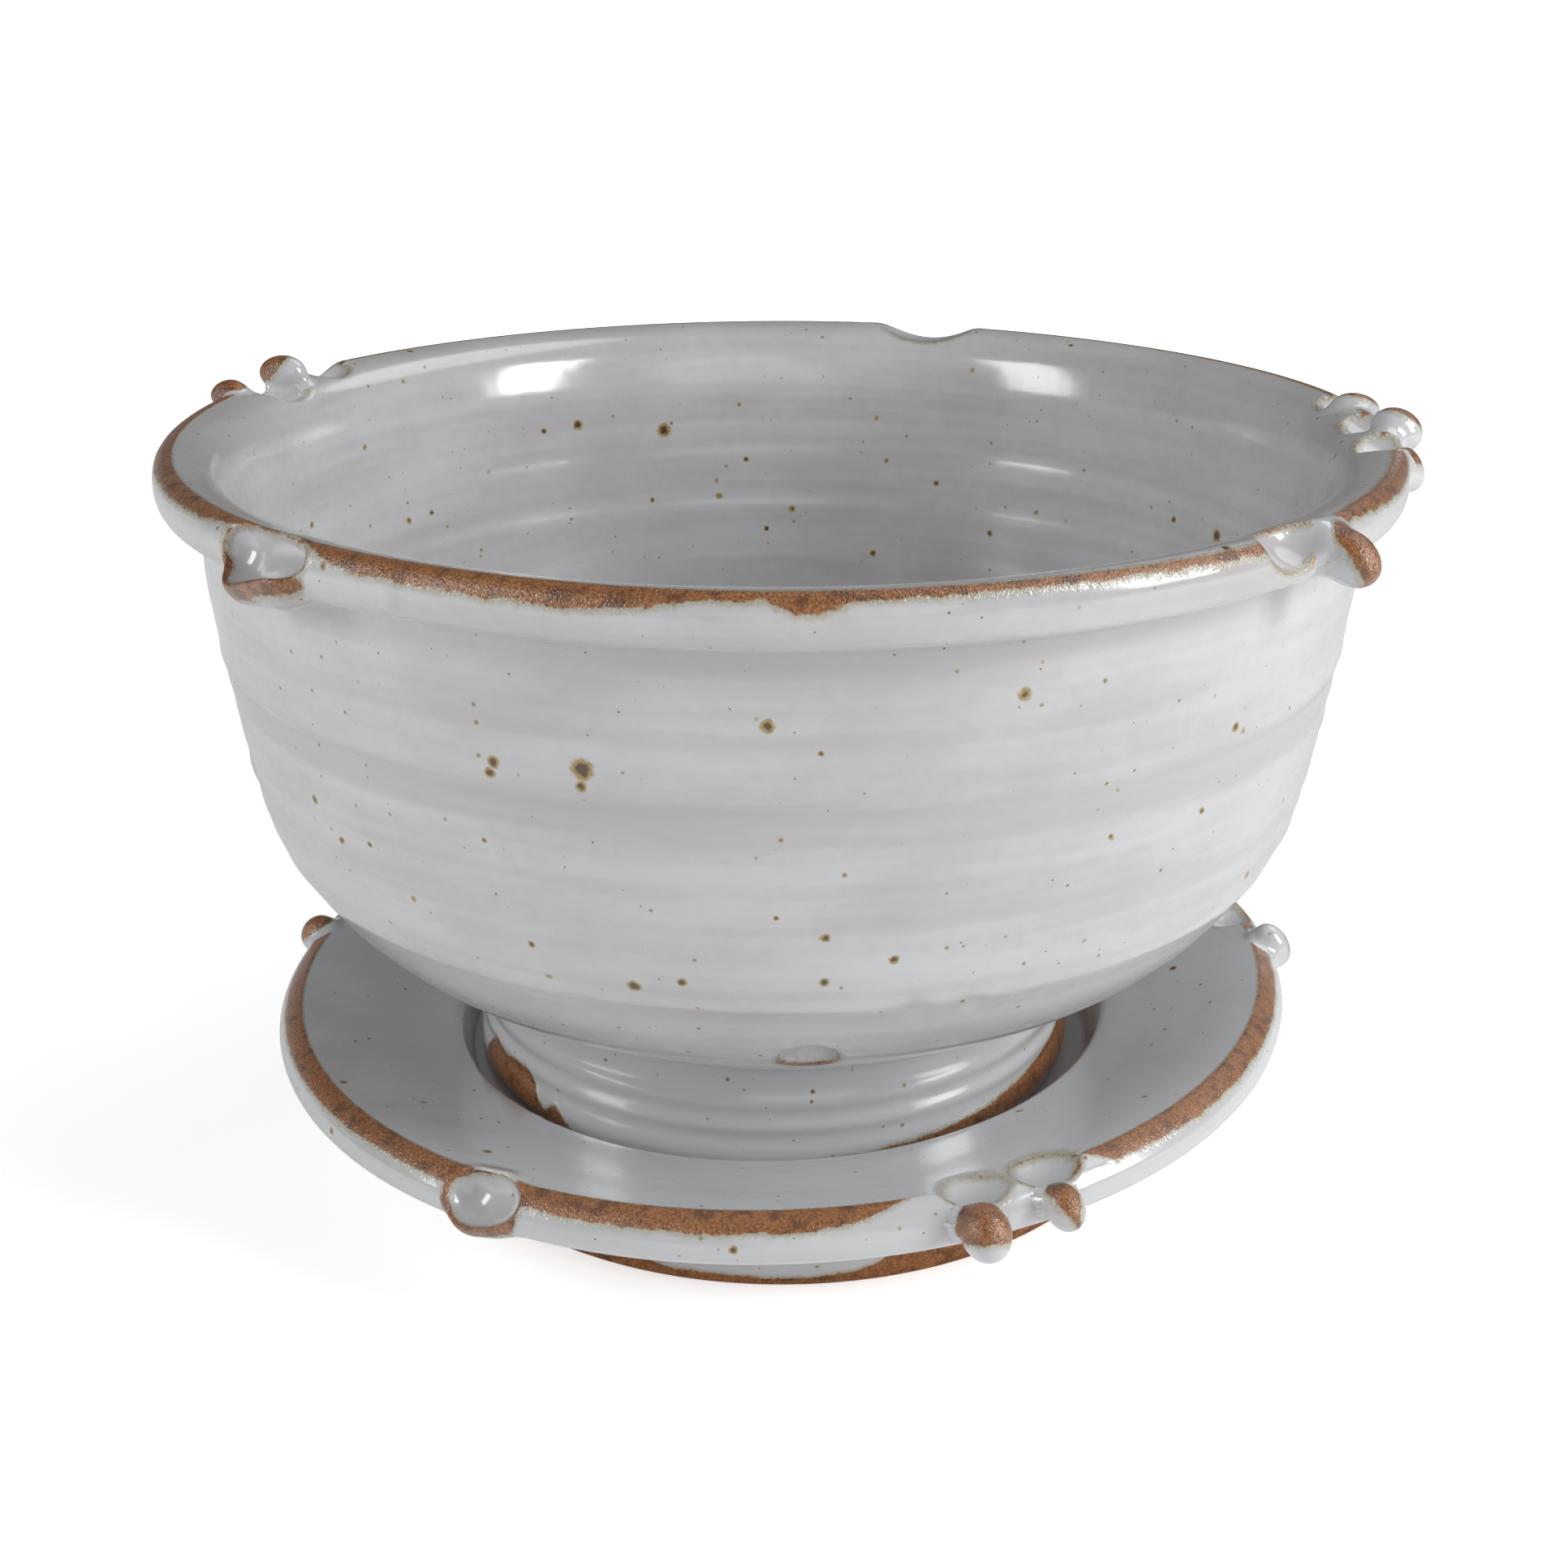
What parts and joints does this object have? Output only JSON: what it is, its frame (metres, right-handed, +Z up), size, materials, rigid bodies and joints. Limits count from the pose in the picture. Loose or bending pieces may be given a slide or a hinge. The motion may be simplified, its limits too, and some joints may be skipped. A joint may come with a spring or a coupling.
{
  "type": "berry colander bowl with drip plate",
  "caption": "Deep round stoneware colander bowl with a thick rolled rim and drain holes low in its wall, standing on its foot ring in the well of a round drip plate.",
  "frame": {"origin": "on the bowl's axis, in the plane of the plate's foot, where the object stands on the table", "axes": "+Z up along the bowl's axis; -Y towards the camera of the picture; +X to its right"},
  "size_m": [0.209, 0.2048, 0.1306],
  "materials": {
    "bowl_glaze": "satin-gloss off-white glaze with iron specks, breaking rust-brown on the rim",
    "bowl_foot_glaze": "thin off-white glaze, bare brown clay at the bottom edge",
    "nub_glaze": "glossy glaze breaking rust-brown on top, white on the sides",
    "plate_glaze": "satin-gloss off-white glaze with iron specks, breaking rust-brown on the rim",
    "plate_foot_clay": "bare reddish-brown stoneware"
  },
  "bodies": {
    "plate": {"drip_plate": "plate_glaze", "plate_foot_ring": "plate_foot_clay", "plate_nub_front_left": "nub_glaze", "plate_nub_front_right": "nub_glaze", "plate_nub_right": "nub_glaze", "plate_nub_left": "nub_glaze"},
    "bowl": {"colander_bowl": "bowl_glaze", "bowl_foot_ring": "bowl_foot_glaze", "bowl_nub_front_right": "nub_glaze", "bowl_nub_right_front": "nub_glaze", "bowl_nub_right_middle": "nub_glaze", "bowl_nub_right_back": "nub_glaze", "bowl_nub_left_back": "nub_glaze", "bowl_nub_left_front": "nub_glaze"}
  },
  "joints": [
    {"name": "bowl_lift", "type": "slide", "parent": "plate", "child": "bowl", "axis": [0, 0, 1], "range_m": [0, 0.12]}
  ]
}
